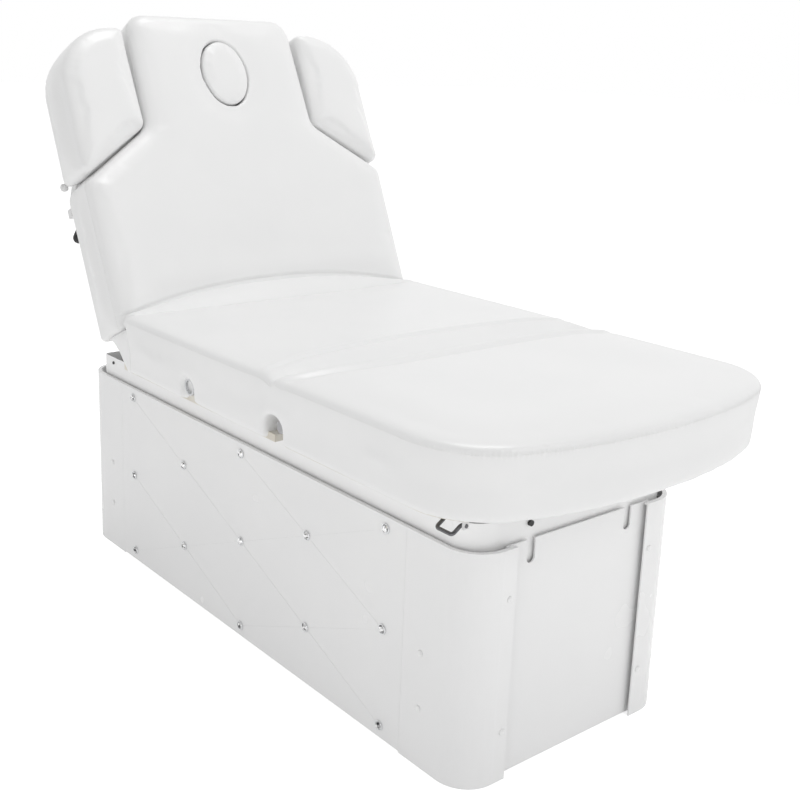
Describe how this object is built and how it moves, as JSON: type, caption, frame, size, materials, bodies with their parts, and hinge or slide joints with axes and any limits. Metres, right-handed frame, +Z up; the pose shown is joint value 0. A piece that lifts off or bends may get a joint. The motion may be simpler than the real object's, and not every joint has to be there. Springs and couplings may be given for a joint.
{
  "type": "facial treatment bed",
  "caption": "Padded treatment bed with a reclining backrest, side wings, face hole, hinged leg rest and a telescoping skirted base.",
  "frame": {"origin": "on the floor, at the centre of the base footprint", "axes": "+X to the user's right when looking from the foot end, +Y towards the head end, +Z up"},
  "size_m": [0.752, 1.4649, 1.2116],
  "materials": {
    "vinyl_white": "matt white upholstery vinyl over foam",
    "panel_white": "gloss white powder coat",
    "frame_white": "satin off-white powder coat",
    "hinge_white": "satin white powder coat",
    "column_alu": "satin extrusion",
    "steel": "ground steel",
    "chrome": "polished chrome",
    "crystal": "clear faceted glass",
    "board": "plywood, sealed",
    "black_plastic": "black moulded plastic",
    "black_steel": "black painted steel",
    "cap_white": "white moulded caps"
  },
  "bodies": {
    "base": {"base_plate": "frame_white", "base_battens": "board", "corner_posts_front": "panel_white", "corner_posts_rear": "panel_white", "side_panel_left": "panel_white", "side_panel_right": "panel_white", "foot_panel": "panel_white", "head_panel": "panel_white", "stud_bezels": "chrome", "stud_crystals": "crystal", "screw_caps": "cap_white", "mains_inlet": "black_plastic", "column_outer_tubes": "column_alu"},
    "column_middle": {"column_middle_tubes": "column_alu"},
    "lift": {"column_inner_tubes": "column_alu", "column_motors": "black_steel", "chassis_rails": "frame_white", "chassis_cross_tubes": "frame_white", "seat_bearers": "frame_white", "chassis_brackets": "frame_white", "knee_shaft": "steel", "knee_shaft_caps": "black_plastic", "hip_shaft": "steel", "control_box": "black_plastic", "inner_skirt_left": "panel_white", "inner_skirt_right": "panel_white", "inner_skirt_foot": "panel_white", "inner_skirt_head": "panel_white", "skirt_bolts": "black_steel", "seat_cushion": "vinyl_white", "seat_board": "board", "hip_cushion": "vinyl_white", "armrest_sockets": "steel", "back_actuator_body": "black_steel", "leg_spring_body": "black_steel"},
    "leg": {"leg_cushion": "vinyl_white", "leg_board": "board", "leg_rails": "frame_white", "leg_cross_tubes": "frame_white", "leg_brackets": "frame_white", "bail_bracket": "frame_white"},
    "leg_spring_rod": {"leg_spring_rod": "steel"},
    "release_bail": {"release_bail": "chrome"},
    "backrest": {"back_cushion": "vinyl_white", "back_board": "board", "back_rails": "frame_white", "back_cross_tubes": "frame_white", "back_brackets": "frame_white", "wing_hinge_brackets": "hinge_white", "wing_hinge_pins": "steel"},
    "back_actuator_rod": {"back_actuator_rod": "steel"},
    "face_plug": {"face_plug": "vinyl_white"},
    "wing_left": {"wing_cushion_left": "vinyl_white", "wing_board_left": "board", "wing_leaf_left": "hinge_white"},
    "wing_right": {"wing_cushion_right": "vinyl_white", "wing_board_right": "board", "wing_leaf_right": "hinge_white"},
    "wing_lock_left": {"wing_lock_left": "black_plastic"},
    "wing_lock_right": {"wing_lock_right": "black_plastic"}
  },
  "joints": [
    {"name": "column_slide", "type": "slide", "parent": "base", "child": "column_middle", "axis": [0, 0, 1], "range_m": [-0.0225, 0.1075]},
    {"name": "lift_slide", "type": "slide", "parent": "base", "child": "lift", "axis": [0, 0, 1], "range_m": [-0.045, 0.215]},
    {"name": "back_hinge", "type": "hinge", "parent": "lift", "child": "backrest", "pos_m": [0, 0.30297, 0.536], "axis": [1, 0, 0], "range_deg": [-65, 5]},
    {"name": "back_rod_slide", "type": "slide", "parent": "lift", "child": "back_actuator_rod", "axis": [0, 1, 0], "range_m": [-0.1289, 0.01]},
    {"name": "leg_hinge", "type": "hinge", "parent": "lift", "child": "leg", "pos_m": [0, -0.291, 0.536], "axis": [-1, 0, 0], "range_deg": [0, 32]},
    {"name": "leg_rod_slide", "type": "slide", "parent": "lift", "child": "leg_spring_rod", "axis": [0, -1, 0], "range_m": [0, 0.0607]},
    {"name": "bail_hinge", "type": "hinge", "parent": "leg", "child": "release_bail", "pos_m": [-0.322, -0.68, 0.499], "axis": [0, 1, 0], "range_deg": [0, 30], "stiffness_Nm_per_rad": 0.2},
    {"name": "plug_slide", "type": "slide", "parent": "backrest", "child": "face_plug", "axis": [0, -0.9063, 0.4226], "range_m": [0, 0.13]},
    {"name": "wing_hinge_left", "type": "hinge", "parent": "backrest", "child": "wing_left", "pos_m": [0, 0.50351, 0.82644], "axis": [-1, 0, 0], "range_deg": [0, 90]},
    {"name": "wing_lock_slide_left", "type": "slide", "parent": "backrest", "child": "wing_lock_left", "axis": [0, -0.4226, -0.9063], "range_m": [0, 0.012], "stiffness_N_per_m": 400},
    {"name": "wing_hinge_right", "type": "hinge", "parent": "backrest", "child": "wing_right", "pos_m": [0, 0.50351, 0.82644], "axis": [-1, 0, 0], "range_deg": [0, 90]},
    {"name": "wing_lock_slide_right", "type": "slide", "parent": "backrest", "child": "wing_lock_right", "axis": [0, -0.4226, -0.9063], "range_m": [0, 0.012], "stiffness_N_per_m": 400}
  ],
  "couplings": [
    {"joint": "column_slide", "follows": "lift_slide", "ratio": 0.5},
    {"joint": "back_rod_slide", "follows": "back_hinge", "m_per_rad": 0.11354},
    {"joint": "leg_rod_slide", "follows": "leg_hinge", "m_per_rad": 0.10857}
  ]
}
